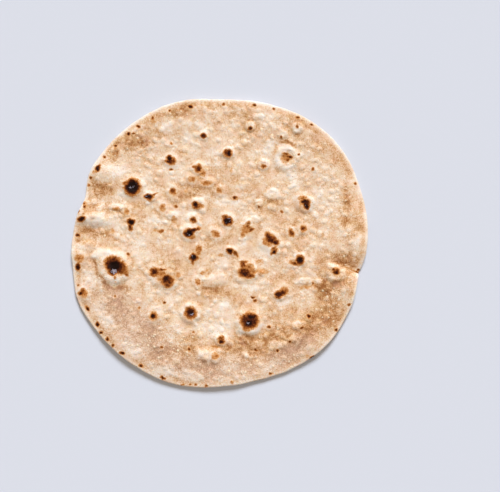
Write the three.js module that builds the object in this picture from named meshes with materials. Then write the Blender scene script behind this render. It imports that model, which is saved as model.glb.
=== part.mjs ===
// Roti: a thin round flatbread, rolled by hand and baked on a hot griddle, lying on a flat surface.
// Millimetres, +Z up. The origin is the middle of the flat part of its underside.
//
// The bread is one solid. A lathe turns its section, then each point is moved by three functions:
// the hand-rolled outline, the waves that lift the rim, and the blisters that puff the top.

import * as THREE from 'three';
import { mergeVertices } from 'three/addons/utils/BufferGeometryUtils.js';

// Driving dimensions.
const RADIUS = 90;              // average radius of the disc
const THICKNESS = 2.2;          // baked sheet between the blisters
const FLAT_RADIUS = 60;         // the underside is flat inside this radius
const RIM_CURL = 0.5;           // height by which the whole rim curls up off the surface

// Fineness of the mesh.
const SEGMENTS = 96;            // steps around the disc
const TOP_RINGS = 24;           // rings across the top
const FLAT_RINGS = 3;           // rings across the flat of the underside
const CURL_RINGS = 8;           // rings across the curled part of the underside
const RIM_STEPS = 4;            // steps around the rounded edge

// The outline bulges and shrinks around the disc. Directions and spreads are in degrees.
const OUTLINE_BULGES = [
  { direction: 12, swell: 1.6, spread: 12 },
  { direction: 40, swell: 5.0, spread: 21 },
  { direction: 88, swell: -2.3, spread: 14 },
  { direction: 162, swell: -3.6, spread: 6.5 },
  { direction: 173, swell: -0.9, spread: 8 },
  { direction: 202, swell: 2.6, spread: 10 },
  { direction: 222, swell: 1.9, spread: 18 },
  { direction: 248, swell: 0.7, spread: 10 },
  { direction: 281, swell: -2.3, spread: 16 },
  { direction: 320, swell: 1.3, spread: 13 },
  { direction: 346, swell: -1.7, spread: 7 },
  { direction: 358, swell: 0.8, spread: 7 },
];

// Waves of the rim, which fade out towards the flat middle.
const RIM_WAVES = [
  { direction: 0, swell: 2.4, spread: 11 },
  { direction: 58, swell: 0.9, spread: 16 },
  { direction: 112, swell: 1.1, spread: 14 },
  { direction: 149, swell: 1.8, spread: 6 },
  { direction: 168, swell: 2.2, spread: 5 },
  { direction: 184, swell: 1.2, spread: 6 },
  { direction: 228, swell: 1.3, spread: 16 },
  { direction: 272, swell: 0.9, spread: 12 },
  { direction: 315, swell: 1.3, spread: 12 },
  { direction: 340, swell: 2.2, spread: 7 },
];

// The larger blisters of the top: centre, radius and height.
const BLISTERS = [
  { x: -64, y: -14, radius: 13, height: 2.8 },
  { x: -52, y: 34, radius: 9, height: 1.4 },
  { x: 19, y: -49, radius: 11, height: 1.8 },
  { x: 41, y: 53, radius: 9, height: 1.8 },
  { x: 16, y: -18, radius: 10, height: 1.2 },
  { x: -3, y: -24, radius: 12, height: 1.3 },
  { x: -17, y: -43, radius: 9, height: 1.3 },
  { x: 72, y: -18, radius: 9, height: 1.4 },
  { x: 33, y: 0, radius: 10, height: 1.1 },
  { x: -34, y: -22, radius: 11, height: 1.2 },
  { x: -17, y: 7, radius: 9, height: 1.2 },
  { x: -6, y: -71, radius: 8, height: 1.3 },
  { x: 49, y: -50, radius: 8, height: 1.3 },
  { x: 33, y: -63, radius: 9, height: 1.2 },
  { x: 53, y: 24, radius: 8, height: 1.1 },
];

// Eases from 0 to 1 with level ends.
function ease(t) {
  const c = Math.min(Math.max(t, 0), 1);
  return c * c * (3 - 2 * c);
}

// Height in one direction of a row of bell-shaped swells around the disc.
function swellAround(swells, degrees) {
  let total = 0;
  for (const { direction, swell, spread } of swells) {
    const turn = (((degrees - direction) % 360) + 540) % 360 - 180;
    total += swell * Math.exp(-((turn / spread) ** 2));
  }
  return total;
}

function rimLift(x, y, degrees) {
  const r = Math.hypot(x, y);
  const outward = ease((r - FLAT_RADIUS) / (RADIUS - FLAT_RADIUS));
  return outward * (RIM_CURL + swellAround(RIM_WAVES, degrees));
}

function blisterHeight(x, y) {
  let highest = 0;
  for (const blister of BLISTERS) {
    const away = Math.hypot(x - blister.x, y - blister.y) / blister.radius;
    highest = Math.max(highest, blister.height * ease(1.2 * (1 - away)));
  }
  return highest;
}

// The section, from the middle of the underside, round the rim, to the middle of the top.
function sectionPoints() {
  const edge = THICKNESS / 2;
  const straight = RADIUS - edge;
  const points = [];
  for (let i = 0; i < FLAT_RINGS; i++) {
    points.push(new THREE.Vector2((FLAT_RADIUS * i) / FLAT_RINGS, 0));
  }
  for (let i = 0; i < CURL_RINGS; i++) {
    points.push(new THREE.Vector2(FLAT_RADIUS + ((straight - FLAT_RADIUS) * i) / CURL_RINGS, 0));
  }
  for (let i = 0; i <= RIM_STEPS; i++) {
    const a = -Math.PI / 2 + (Math.PI * i) / RIM_STEPS;
    points.push(new THREE.Vector2(straight + edge * Math.cos(a), edge + edge * Math.sin(a)));
  }
  for (let i = TOP_RINGS - 1; i >= 0; i--) {
    points.push(new THREE.Vector2((straight * i) / TOP_RINGS, THICKNESS));
  }
  return points;
}

// A lathe turns about Y, so the disc is laid down, and its shared points are joined into one skin.
function turnedDisc() {
  const lathe = new THREE.LatheGeometry(sectionPoints(), SEGMENTS);
  lathe.rotateX(Math.PI / 2);
  lathe.deleteAttribute('uv');
  lathe.deleteAttribute('normal');
  return mergeVertices(lathe, 1e-4);
}

// Moves each point of the disc: outwards to the outline, up with the rim, and up on the blisters.
function shapeBread(geometry) {
  const place = geometry.getAttribute('position');
  for (let i = 0; i < place.count; i++) {
    const degrees = THREE.MathUtils.radToDeg(Math.atan2(place.getY(i), place.getX(i)));
    const reach = 1 + swellAround(OUTLINE_BULGES, degrees) / RADIUS;
    const x = place.getX(i) * reach;
    const y = place.getY(i) * reach;
    const towardsTop = place.getZ(i) / THICKNESS;
    const z = place.getZ(i) + rimLift(x, y, degrees) + towardsTop * blisterHeight(x, y);
    place.setXYZ(i, x, y, z);
  }
  geometry.computeVertexNormals();
  return geometry;
}

const bakedDough = new THREE.MeshStandardMaterial({ color: 0xe0bf97, roughness: 0.85, metalness: 0 });
const roti = new THREE.Mesh(shapeBread(turnedDisc()), bakedDough);
roti.name = 'roti';

const model = new THREE.Group();
model.add(roti);

export default model;
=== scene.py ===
"""A roti: one thin wholemeal flatbread, baked on a griddle, lying on a pale table.

The bread is a single piece. Its sheet is a disc of fine rings, moved by the hand-rolled outline, the
waves of the rim, the blisters and the small wrinkles of the crust. The marks that the griddle left are
written onto the mesh as soft fields, and the crust's shader turns them into flour, tan, brown and char.
Some of the fields also paint light and shade into the crust's colour: painted highlights on the lit
slopes, painted shade on the slopes and under the blisters that turn from the light, a broad painted
shade over the lower part, and painted glints in the pits of char.

Lengths of the bread are in millimetres and are turned into metres when its mesh is made.
"""

import logging
import math
from dataclasses import dataclass
from enum import Enum
from typing import Sequence

import bpy
import numpy as np
from mathutils import Color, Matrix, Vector


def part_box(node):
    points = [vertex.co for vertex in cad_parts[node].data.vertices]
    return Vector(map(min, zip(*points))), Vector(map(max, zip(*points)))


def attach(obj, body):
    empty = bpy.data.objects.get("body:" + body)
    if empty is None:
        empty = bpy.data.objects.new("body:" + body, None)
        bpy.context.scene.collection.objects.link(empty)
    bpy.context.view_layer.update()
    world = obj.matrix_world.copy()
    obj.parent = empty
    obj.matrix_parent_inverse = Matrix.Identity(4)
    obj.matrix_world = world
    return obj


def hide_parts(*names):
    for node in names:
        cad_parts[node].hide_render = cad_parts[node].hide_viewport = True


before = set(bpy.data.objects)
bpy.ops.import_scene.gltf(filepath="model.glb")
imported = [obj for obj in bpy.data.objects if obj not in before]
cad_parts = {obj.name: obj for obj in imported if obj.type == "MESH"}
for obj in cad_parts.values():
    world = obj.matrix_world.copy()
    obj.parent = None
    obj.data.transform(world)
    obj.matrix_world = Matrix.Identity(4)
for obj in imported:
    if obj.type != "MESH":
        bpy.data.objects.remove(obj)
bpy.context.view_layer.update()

LOG = logging.getLogger("roti")
MM = 0.001
NODE = "roti"
BODY = "root"

Array = np.ndarray
Rows = tuple[tuple[float, ...], ...]


def ease(t: Array) -> Array:
    """Goes from 0 to 1 with level ends as t does, and stays there outside."""
    c = np.clip(t, 0.0, 1.0)
    return c * c * (3.0 - 2.0 * c)


def lattice_noise(x: Array, y: Array, size: float, seed: int) -> Array:
    """Smooth noise from random slopes at the corners of a square lattice.

    Args:
        x: Places along X, in mm.
        y: Places along Y, in mm.
        size: Side of a lattice square, in mm.
        seed: Chooses the slopes.

    Returns:
        Values that are mostly between -1 and 1.
    """
    corners, strength = 128, 1.6
    turns = np.random.default_rng(seed).uniform(0.0, 2.0 * math.pi, (corners, corners))
    # The lattice is shifted, so that none of its corners lies on the bread's middle.
    u, v = x / size + 64.37, y / size + 64.71
    column, row = np.floor(u).astype(int), np.floor(v).astype(int)
    s, t = u - column, v - row
    total = np.zeros_like(u)
    for i in (0, 1):
        for j in (0, 1):
            turn = turns[(column + i) % corners, (row + j) % corners]
            slope = (s - i) * np.cos(turn) + (t - j) * np.sin(turn)
            total += slope * (1.0 - ease(np.abs(s - i))) * (1.0 - ease(np.abs(t - j)))
    return strength * total


def ripples(x: Array, y: Array, seed: int, layers: Rows) -> Array:
    """Sum of several layers of smooth noise.

    Args:
        x: Places along X, in mm.
        y: Places along Y, in mm.
        seed: Chooses the slopes of all the layers.
        layers: Strength and size of each layer, and what it adds to the seed.

    Returns:
        The sum at each place.
    """
    return sum(strength * lattice_noise(x, y, size, seed + step) for strength, size, step in layers)


@dataclass(frozen=True)
class Swell:
    """A bell-shaped swell around one direction of the disc, in degrees and mm."""

    direction: float
    height: float
    spread: float

    def at(self, degrees: Array) -> Array:
        """Its height in each of the given directions."""
        turn = (degrees - self.direction + 180.0) % 360.0 - 180.0
        return self.height * np.exp(-((turn / self.spread) ** 2))


@dataclass(frozen=True)
class Spot:
    """An oval on the crust: centre, width and length in mm, and its turn from +X in degrees."""

    x: float
    y: float
    width: float
    length: float
    turn: float = 0.0

    def reach(self, x: Array, y: Array) -> Array:
        """How far out each place lies.

        Args:
            x: Places along X.
            y: Places along Y.

        Returns:
            0 at the middle of the oval and 1 on its edge.
        """
        c, s = math.cos(math.radians(self.turn)), math.sin(math.radians(self.turn))
        along = (x - self.x) * c + (y - self.y) * s
        across = (y - self.y) * c - (x - self.x) * s
        return np.hypot(along / (self.width / 2.0), across / (self.length / 2.0))


@dataclass(frozen=True)
class Blister(Spot):
    """A puffed place. Its top is flat in proportion to fullness, and may be sunk by a hollow, in mm."""

    height: float = 1.0
    fullness: float = 2.2
    hollow: float = 0.0

    def rise(self, x: Array, y: Array) -> Array:
        """Its height over the sheet.

        Args:
            x: Places along X.
            y: Places along Y.

        Returns:
            The height at each place, in mm.
        """
        reach = self.reach(x, y)
        # The hollow is full near the middle and is gone two thirds of the way out.
        sunk = self.hollow * ease(1.3 - 1.9 * reach)
        return self.height * ease(self.fullness * (1.0 - reach)) - sunk


class Field(Enum):
    """What the mesh carries for the shader of the crust, by the name of its attribute."""

    BAKE = "bake"
    # Tan, and painted shade on the slopes and under the blisters that turn from the light.
    TAN = "tan_and_shade"
    # Flour, and painted highlight on the slopes that face the light.
    FLOUR_AND_HIGHLIGHT = "flour_and_highlight"
    # Ash in the pits of char, with a painted glint of reflected light.
    ASH_AND_GLINT = "ash_and_glint"
    # What stands out and what lies low, which the shader paints paler and darker.
    STAND = "stand"
    SPECKLE = "speckle"
    # Painted shade, broad and greyish, over the lower part of the top.
    PAINTED_SHADE = "painted_shade"


class Bake(Enum):
    """How far a mark is baked: the depth of its colour at its edge, and the deepest it may get."""

    CHARRED = (0.1, 4.0)
    SINGED = (-0.1, 1.4)
    BROWN = (-0.3, 0.5)
    TOASTED = (-0.72, -0.12)
    FAINT = (-1.0, -0.5)


@dataclass(frozen=True)
class Mark(Spot):
    """A place that touched the hot iron, and how far it is baked."""

    bake: Bake = Bake.CHARRED

    def depth(self, x: Array, y: Array) -> Array:
        """Depth of its colour at each place.

        Args:
            x: Places along X.
            y: Places along Y.

        Returns:
            The depth, in mm from the line between brown and char.
        """
        edge, deepest = self.bake.value
        radius = math.sqrt(self.width * self.length) / 2.0
        inward = radius * (1.0 - self.reach(x, y))
        rise = deepest - edge
        steepness, fade = 0.6 + 0.4 / radius, 0.4 + 0.35 * radius
        inside = rise * (1.0 - np.exp(-np.maximum(inward, 0.0) * steepness / rise))
        outside = np.minimum(inward, 0.0) / fade
        return edge + inside + outside


@dataclass(frozen=True)
class Patch(Spot):
    """A broad place with no sharp edge, such as flour, a tan, a painted highlight or a painted shade, and
    its strength.
    """

    strength: float = 1.0

    def cover(self, x: Array, y: Array) -> Array:
        """How much of it shows at each place: all at its middle, and none a third beyond its edge."""
        return self.strength * ease(1.35 * (1.0 - 0.74 * self.reach(x, y)))


@dataclass(frozen=True)
class Crease:
    """A pinch in the rim: the sheet falls gently into it from one side and rises at once beyond it."""

    start: tuple[float, float]
    end: tuple[float, float]
    depth: float
    gentle: float
    sharp: float
    fade: float = 14.0

    def drop(self, x: Array, y: Array) -> Array:
        """How far the sheet drops at each place.

        Args:
            x: Places along X.
            y: Places along Y.

        Returns:
            The drop, in mm.
        """
        run = Vector(self.end) - Vector(self.start)
        length = run.length
        along = ((x - self.start[0]) * run.x + (y - self.start[1]) * run.y) / length
        across = ((y - self.start[1]) * run.x - (x - self.start[0]) * run.y) / length
        slope = np.clip(1.0 - across / self.gentle, 0.0, 1.0) ** 1.6
        step = np.exp(-((across / self.sharp) ** 2))
        return self.depth * ease(along / self.fade + 0.5) * np.where(across > 0.0, slope, step)


@dataclass(frozen=True)
class Sheet:
    """The plain baked sheet, before its blisters, in mm."""

    radius: float = 90.0
    thickness: float = 2.2
    flat_radius: float = 60.0
    rim_curl: float = 0.5
    bulges: tuple[Swell, ...] = tuple(Swell(*row) for row in (
        (12, 1.6, 12), (40, 5, 21), (88, -2.3, 14), (162, -3.6, 6.5), (173, -0.9, 8), (202, 2.6, 10),
        (222, 1.9, 18), (248, 0.7, 10), (281, -2.3, 16), (320, 1.3, 13), (346, -1.7, 7), (358, 0.8, 7),
    ))
    waves: tuple[Swell, ...] = tuple(Swell(*row) for row in (
        (0, 2.4, 11), (58, 0.9, 16), (112, 1.1, 14), (149, 1.8, 6), (168, 2.2, 5), (184, 1.2, 6),
        (228, 1.3, 16), (272, 0.9, 12), (315, 1.3, 12), (340, 2.2, 7),
    ))
    fold: Crease = Crease((70.0, -11.5), (86.0, -18.4), 2.4, 13.0, 2.0)
    notch: Swell = Swell(348.2, -0.7, 1.3)
    ragged: float = 0.16
    lumpy: float = 0.35
    noise_radius: float = 40.0

    def outline(self, degrees: Array) -> Array:
        """Reach of the hand-rolled edge.

        Args:
            degrees: Directions from +X.

        Returns:
            The reach in each direction, as a share of the radius.
        """
        swells = sum(swell.at(degrees) for swell in (*self.bulges, self.notch))
        turn = np.radians(degrees)
        x, y = self.noise_radius * np.cos(turn), self.noise_radius * np.sin(turn)
        ragged = self.ragged * lattice_noise(x, y, 2.6, 11)
        lumpy = self.lumpy * lattice_noise(x, y, 9.0, 12)
        return 1.0 + (swells + ragged + lumpy) / self.radius

    def to_edge(self, x: Array, y: Array) -> Array:
        """How far each place lies inside the edge, in mm along its direction."""
        return self.radius * self.outline(np.degrees(np.arctan2(y, x))) - np.hypot(x, y)

    def lift(self, x: Array, y: Array) -> Array:
        """Height of the sheet over the table at each place.

        Args:
            x: Places along X.
            y: Places along Y.

        Returns:
            The height, in mm.
        """
        outward = ease((np.hypot(x, y) - self.flat_radius) / (self.radius - self.flat_radius))
        degrees = np.degrees(np.arctan2(y, x))
        waves = sum(wave.at(degrees) for wave in self.waves)
        return np.maximum(outward * (self.rim_curl + waves) - outward * self.fold.drop(x, y), 0.0)


# The puffed places of the top, the largest first. The marks add small puffs of their own.
BLISTERS: tuple[Blister, ...] = tuple(Blister(*row) for row in (
    (-63.8, -15, 25, 25, 0, 1.8), (-69, -9, 20, 14, -18, 1.5, 1.6), (-52.5, 34, 17, 17, 0, 1.3),
    (19, -49, 21, 19, 0, 1.7), (41.8, 51.5, 19, 20, 0, 1.15, 2.2, 0.6), (16, -18, 20, 17, -20, 0.75, 1.8),
    (-3, -23, 24, 11, 8, 0.85, 1.4), (-17, -43, 16, 16, 0, 1.2), (71.6, -18.6, 16, 14, -10, 1.4, 2),
    (33, 1, 18, 15, -40, 0.75), (-34, -21, 24, 17, -25, 0.9, 1.8), (-17, 6.5, 16, 14, 15, 0.8),
    (-6, -69, 20, 12, 0, 1.2, 1.4), (49, -50.5, 12, 7.5, 4, 0.8, 1.6), (36, -62.5, 15, 8.5, 5, 0.55, 1.5),
    (24, -62.5, 11, 7, 0, 0.5, 1.5), (47, -58.5, 13, 6, 8, 0.5, 1.5), (53, 24, 14, 14),
    (39.5, 66, 10, 7.5, -15, 0.7, 1.5), (48.5, 70, 9, 9, 0, 0.9), (19.5, 71, 8, 8, 0, 0.9),
    (25, 24, 6.5, 6, 0, 0.8, 1.6), (0.8, 33, 6.5, 6, 0, 0.6), (27.8, 47.5, 10, 8.5, 0, 0.8),
    (33.5, 29.5, 12, 8.5, 0, 0.6), (-7, 38, 9, 6, 0, 0.5), (-12, 45, 12, 11, 0, 0.8),
    (-15.5, 15, 11, 9, 0, 0.7), (-13, 23.5, 12, 10, 0, 0.7), (-28, 16.5, 9, 6.5, 0, 0.5),
    (-62, 21.5, 15, 5, -5, 0.8, 1.6), (-76, 14, 30, 12, -6, 1.2, 1.2), (-66, 43, 30, 15, 10, 0.6, 1.1),
    (-80, -2.5, 19, 10, -5, 0.5, 1.2), (20, 14, 14, 6, 0, 0.5), (18, 9, 12, 10, 0, 0.6), (6, 55, 11, 10),
    (6, 14, 11, 11, 0, 0.8), (-42, 28, 11, 9, 0, 0.7), (-53.7, 11.5, 9, 11, 0, 0.7),
    (-30, 50.5, 10, 10, 0, 0.7), (50, -10.5, 11, 11, 0, 0.9), (38, -31, 13, 10, 20, 0.8),
    (-40, -45, 11, 10, 0, 0.8), (2, -59.5, 11, 9, 0, 0.9), (7.5, -5, 10, 7, -20, 0.6),
    (34, -5.5, 8, 7, 0, 0.7), (-12.2, -31, 4.5, 3.5, 0, 0.5, 1.8), (53, -23.5, 12, 5, 0, 0.5),
    (-36.6, -63.6, 3.2, 3, 0, 0.35, 1.8), (-23, -64.5, 3.4, 3, 0, 0.35, 1.8),
    (-34, -63, 3.4, 3, 0, 0.3, 1.8), (16.5, -69, 5, 3.5, 0, 0.4), (27.5, -66.3, 3.4, 2.5, 0, 0.35),
    (-9, 65.5, 8, 8, 0, 0.6), (-84, -31, 10, 10, 0, 0.6), (61.5, -23.5, 5, 4, 0, 0.5),
))

# The marks of the top, each as (x, y, width, length, turn), by how far they are baked. A turn of 0 is
# left out.
MARK_ROWS: dict[Bake, Rows] = {
    Bake.CHARRED: (
        (-63.6, -14.2, 8.6, 7.6), (-64.2, -17.2, 5.4, 4.6), (-52.5, 33.9, 8.4, 8.9), (18.8, -49, 5.4, 4.6),
        (20.2, -45.3, 6.5, 2.8), (34.1, -6.1, 3.4, 2, 25), (52.9, 25, 4.6, 2.6, 5),
        (53.7, 22.6, 2.8, 4.8, 20), (-18, 5.8, 5.2, 4.8), (-15.4, 7.6, 4.6, 1.8, 15), (5.6, 13.1, 5, 4.6),
        (50, -10.6, 4.6, 4.7), (6.4, 54.6, 2.8, 4.6), (-29.8, 51.3, 3.3, 3.2), (-30.3, 49.4, 3.8, 2.2),
        (-42.5, 28, 5, 2.7), (-53.5, 12.6, 4, 3.5, 10), (-11.9, 44.6, 2.2, 2.8), (-14.1, 23.4, 3.4, 2.4),
        (7.2, -5, 3.8, 2.9), (-15.1, -9, 4.2, 3.8), (1.8, -60.6, 3.4, 2.4), (-39.7, -45, 3.2, 3.2),
        (72.4, -18.2, 2.6, 2.6), (70.6, -16.1, 1.4, 1.4), (-9, 65.3, 2.8, 2.2), (19.5, 69.7, 2.2, 1.9),
        (10, 27.6, 2.5, 1.4), (21, -33.4, 2.4, 1, -5), (55.5, -45, 2, 1.8), (-86, -15, 2.6, 3.8, -10),
        # Small dark dots, mostly along the rim.
        (-17, 83, 2.3, 2.2), (3.3, 84.7, 1.4, 1.2), (-49, 70.8, 1.8, 1.5), (-55, 66.3, 1.9, 1.5),
        (-62.8, 59, 1.7, 1.6), (-73.4, 45.2, 2.3, 4, -20), (-81.9, 21.7, 1.5, 1.3),
        (-83.4, 14.5, 4.4, 2.8, 22), (-85.9, 4.4, 2.1, 2), (-85.9, -15, 2.7, 3.2, -20),
        (-84.1, -30.9, 2.6, 2, 15), (-80.2, -40.3, 1.4, 2.9, 35), (-73.9, -49.9, 1.8, 2.5, 15),
        (-71.7, -54.7, 1.7, 1.4), (-67.8, -59, 1.6, 2.1), (-64.6, -62.7, 1.5, 1.5),
        (-58.7, -67.3, 2.6, 1.6, -25), (-47.4, -75.1, 2, 1.4, -20), (-33.9, -82.6, 2.6, 1.6, -25),
        (-7.3, -87.2, 1.5, 1.3), (57.5, -69.9, 2.2, 1, 25), (72.2, -53.2, 1.5, 1.3),
        (-40.1, 75.9, 1.5, 1.2), (85.8, -16.7, 1.1, 1.2),
    ),
    Bake.SINGED: (
        (16.2, -18.9, 4.8, 3.4, -15), (35.2, 0.1, 4, 3), (-17, -42.4, 5.7, 5.4), (-31.6, -22, 4.8, 4.6),
        (-39, -18, 3.6, 3.8), (37, -31.8, 4.6, 3.8), (43.6, 52.4, 3.6, 1.8, -20),
        # Small brown dots along the rim and on the shoulders of the blisters.
        (-29.7, 80.5, 1.4, 1.2), (22.1, 83.9, 1.9, 1.2), (34, 81.4, 1.4, 1.2), (48.6, 76.4, 1.8, 1.3),
        (57.2, 71.7, 1.9, 1.2, -20), (-69.8, 52.4, 1.4, 1.3), (-77.8, 39.3, 1.4, 1.5),
        (-79.3, 35, 1.2, 1.4), (-81.6, 23.7, 1.2, 1.2), (-85.9, -26, 1.3, 1.4), (-14, -87.1, 1.6, 1),
        (-17, -86.9, 1.2, 0.9), (32.2, -80.2, 1.6, 1.2), (80.1, -37.7, 1.3, 1.5), (84, 35.9, 1.3, 1.4),
        (-29, 44.7, 1.9, 1.2), (-55.1, -7.2, 1.8, 1.6), (31, -51.6, 1.8, 1.5), (51.2, -52, 2, 1.4, 20),
        (-18, -65.3, 1.6, 2.4), (57.8, 45, 1.6, 1.4, -20), (49.3, 53.7, 1.3, 1.1), (48.3, 70.6, 1.3, 1.8),
        (36, -66, 1.5, 1.5), (23.2, -65.6, 1.6, 1.2), (43.8, -60.6, 1.6, 1.2), (58, -25, 1.4, 1.8),
        (-34.5, -63.9, 1.6, 1.2), (-51.7, 66.6, 1.2, 0.9), (38.6, 64.3, 1.4, 1.3), (-28.8, 60.7, 1.4, 1.1),
        (-15.2, -54.8, 1.4, 1), (-33.2, -36.7, 1.6, 1.5), (-63.4, -32.7, 1.4, 1.2),
        (38.8, 18.9, 1.9, 1.1, -30), (25, 21.8, 1.2, 1.4), (-85.4, 18.8, 1.2, 1.6), (-21.8, -86.7, 1.4, 1),
    ),
    Bake.BROWN: (
        (-64.6, -12.2, 10, 8, 20), (-59.4, -15.3, 6.5, 7.5), (-56, -19.6, 2.4, 2), (-56.6, 36.2, 4, 2.6),
        (19, -47.7, 11, 10), (16, -18.4, 7.8, 6.2, -10), (15.2, -13.4, 3.6, 4.4, 20), (18.5, -20, 6.5, 3.6),
        (15.6, -11.8, 4.8, 2), (32.4, 2, 7.5, 4, -38), (30.3, 4.4, 3.8, 4.6), (33.4, 2.9, 5, 2, -25),
        (33.8, -3.6, 4, 1.4, 35), (31.8, 2.4, 6.6, 5.6, -35), (55, 24, 2.4, 4.4), (-17, -43.1, 7.2, 7.2),
        (-12.1, 8.6, 2.8, 2.2, 20), (4.3, 15.6, 4, 2.8), (-31, -23.2, 8, 6.6), (-31, -26.2, 4, 3),
        (-39, -18, 6, 5.4), (-34.2, -16.5, 4.5, 1.5), (39, -30.8, 6.6, 4.2, 20), (46.8, -12.8, 4.8, 2.2),
        (5.7, 54.8, 5.2, 5), (-28.7, 50, 5, 4.8), (-42.1, 26.7, 3.4, 3.4), (-38.9, 29.3, 4, 1.1, 30),
        (-53.8, 9.6, 2.6, 4.6), (-12.3, 45.3, 4.6, 4.8), (-14.6, 46.3, 2.4, 2), (-13.4, 22.5, 5.2, 3.9),
        (10.7, -6.9, 4, 2.1, -50), (-15.6, -11.7, 2, 3), (1.8, -58.7, 3.8, 3.6), (72.1, -17.6, 4.4, 4.4),
        (84.6, -17.9, 4, 0.8, -20), (52, 8.6, 3.8, 3.7), (44.9, 5.8, 3.2, 4.8, 20),
        (17.5, 10, 2.8, 1.8, 30), (20.2, 7.8, 3.4, 2.2, 35), (18.7, 12.1, 2.2, 1.8), (-3.6, 6.3, 1.8, 1.6),
        (-15.3, 13.8, 3.8, 3.6), (-27.8, 31.5, 3.6, 3.2), (27.8, 46.5, 3.2, 2.8), (41.6, 54.2, 4, 1.5),
        (42.4, 50.6, 1.8, 2.6, 20), (-26.1, 22, 2, 1.7), (-34.8, 7, 2.6, 2.4), (22.5, -35.6, 2.3, 2),
        (-82.6, -29.6, 3, 3),
    ),
    Bake.TOASTED: (
        (-57.4, -15.6, 3, 5), (-57, -18, 4.5, 4), (-63, -21.4, 2, 2.6), (17.5, -51.5, 6, 6, 30),
        (18.6, -15.6, 6.5, 6), (22, -18, 5, 3), (30.6, 0.8, 8, 6.4, -25), (34.2, -5, 5, 5),
        (51.6, 27, 6, 3.4, 10), (-16, 3.3, 4.4, 3), (-35, -18.7, 7, 4.6, -20), (-35.3, -22.4, 5, 3.5, -30),
        (-24.5, -19.6, 3.2, 3), (40.2, -29.4, 6, 5.4), (45, -12.1, 4.4, 3), (-9.6, 42.3, 4, 4.5),
        (-10.5, 21.8, 4, 2.8), (1.3, -7.6, 4, 2.4), (-11.9, -3.9, 4.4, 5.2, -15), (-12, -6.8, 3, 3),
        (-1.6, -63.8, 7, 1.6), (-39.7, -44.8, 6, 6), (81.4, -16.5, 11, 0.9, -24), (17.3, 8.4, 7, 6.2),
        (14.9, 4.6, 3, 4), (-1.5, 5.2, 6.4, 4.2, -40), (-27.7, 31, 5, 5), (41.8, 52, 6.4, 6),
        (-34.1, 21.3, 4, 5), (-62.6, 20.4, 4.4, 2.4, 10), (-56.1, 19.1, 3, 4), (-64.8, 7.3, 2.2, 2.8),
        (-16, 38.8, 5, 4), (-7, 36.4, 6.5, 3), (0.6, 31.8, 4.4, 3.6), (-1.8, -69.2, 5, 4.6),
        (-48.5, -40.2, 2, 2.6), (-9.6, -18.6, 3, 2.6, 30), (-12.5, -24, 3.4, 5, 15), (-76, 43, 2.4, 2),
        (-84.7, -9.7, 5.8, 5.4), (-82.2, -31, 4.4, 6), (8.5, -85.1, 2.2, 2.4), (54.5, -69, 2.8, 1.3),
    ),
    Bake.FAINT: (
        (-63, -24, 2.6, 1.6), (25.5, -12, 6, 4.5), (26.5, -17.8, 9, 4.5), (50, 24, 2, 6.5),
        (41, 51.4, 6.6, 7), (-38, 7.4, 6, 2.6), (-27.1, 14, 4, 5.4), (-12, 38.8, 4.5, 3),
        (-19.8, 31.5, 2.6, 2.4), (10, 27, 7, 2.6), (-6.5, -16.8, 5, 1.6, 25), (8, 44, 1.8, 4.6, -10),
        (53, -27.5, 7, 3), (-39.5, 74.2, 4.4, 3.4), (-9.9, 84.2, 2.4, 1.8), (-62.8, 57.2, 3.4, 3),
        (-81.5, 22.6, 4, 6), (-84.6, -17.4, 2.4, 3),
    ),
}

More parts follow.
